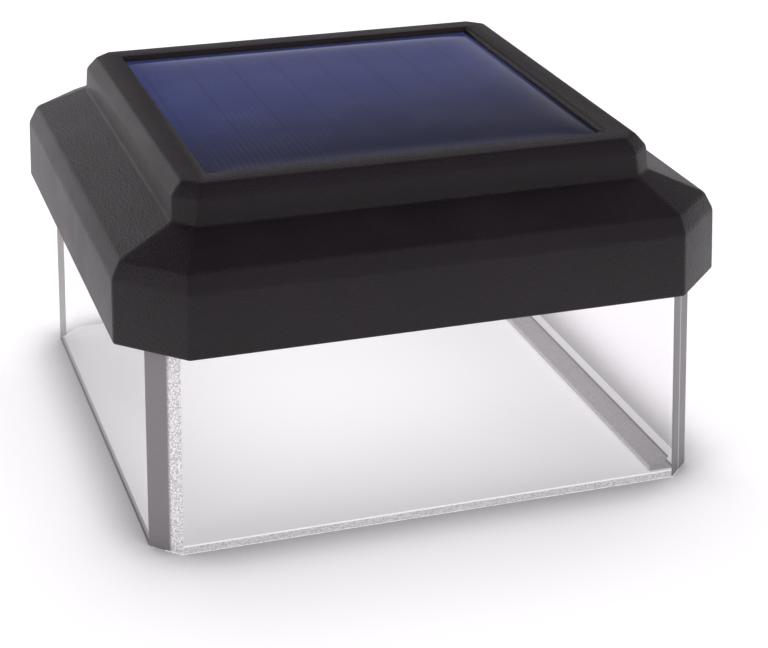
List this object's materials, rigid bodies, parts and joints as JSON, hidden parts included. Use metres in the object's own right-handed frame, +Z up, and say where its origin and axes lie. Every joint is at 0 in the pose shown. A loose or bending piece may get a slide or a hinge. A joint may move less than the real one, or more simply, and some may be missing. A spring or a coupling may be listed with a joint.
{
  "type": "deck post cap light",
  "caption": "Square post cap light: black roof with a recessed solar panel on a clear skirt that slips over a post, with battery bay and switch beneath.",
  "frame": {"origin": "middle of the clear skirt's bottom rim, which is the lowest face", "axes": "+Z up, front face towards -Y, the skirt's inner ledge on the +X side"},
  "size_m": [0.11, 0.11, 0.0634],
  "materials": {
    "cap_black": "black, fine moulded texture, softly rounded edges",
    "clear_plastic": "clear and polished, frosted along its rim and corners",
    "cover_black": "black, plain moulded",
    "seal_grey": "grey silicone",
    "tape_black": "black foam tape",
    "board_blue": "dark blue coated circuit board",
    "board_green": "green coated circuit board",
    "board_white": "white coated circuit board",
    "cell_blue": "dark blue silicon with fine pale lines",
    "resin_clear": "clear glossy cast resin with a domed edge",
    "screw_steel": "plain zinc-plated steel",
    "contact_steel": "nickel-plated spring steel",
    "cell_steel": "nickel-plated steel can",
    "sleeve_green": "green shrink sleeve",
    "chip_black": "black moulded package",
    "ferrite": "dark grey ferrite",
    "can_aluminium": "drawn aluminium can",
    "switch_steel": "folded steel can",
    "knob_black": "black moulded knob",
    "lamp_white": "white package with a pale yellow lens",
    "lead_red": "red insulation",
    "lead_black": "black insulation"
  },
  "bodies": {
    "housing": {"cap_shell": "cap_black", "lens_skirt": "clear_plastic", "skirt_seal": "seal_grey", "panel_tape": "tape_black", "panel_board": "board_blue", "solar_cells": "cell_blue", "panel_resin": "resin_clear", "base_cover": "cover_black", "cover_gasket": "seal_grey", "cover_screws": "screw_steel", "main_board": "board_green", "board_screws": "screw_steel", "driver_chip": "chip_black", "storage_inductor": "ferrite", "filter_capacitor": "can_aluminium", "resistors": "chip_black", "switch_case": "switch_steel", "light_strip_front": "board_white", "light_strip_right": "board_white", "light_strip_back": "board_white", "light_strip_left": "board_white", "lamps_front": "lamp_white", "lamps_right": "lamp_white", "lamps_back": "lamp_white", "lamps_left": "lamp_white", "battery_cell": "cell_steel", "battery_sleeve": "sleeve_green", "contact_plus": "contact_steel", "contact_minus": "contact_steel", "panel_lead_red": "lead_red", "panel_lead_black": "lead_black", "battery_lead_red": "lead_red", "battery_lead_black": "lead_black", "strip_lead_red": "lead_red", "strip_lead_black": "lead_black", "strip_jumper_right": "lead_black", "strip_jumper_back": "lead_black", "strip_jumper_left": "lead_black"},
    "door": {"battery_door": "cover_black", "door_seal": "seal_grey", "door_screws": "screw_steel"},
    "switch": {"switch_slider": "knob_black"}
  },
  "joints": [
    {"name": "door_lift", "type": "slide", "parent": "housing", "child": "door", "axis": [0, 0, -1], "range_m": [0, 0.03]},
    {"name": "switch_slide", "type": "slide", "parent": "housing", "child": "switch", "axis": [1, 0, 0], "range_m": [0, 0.002]}
  ]
}
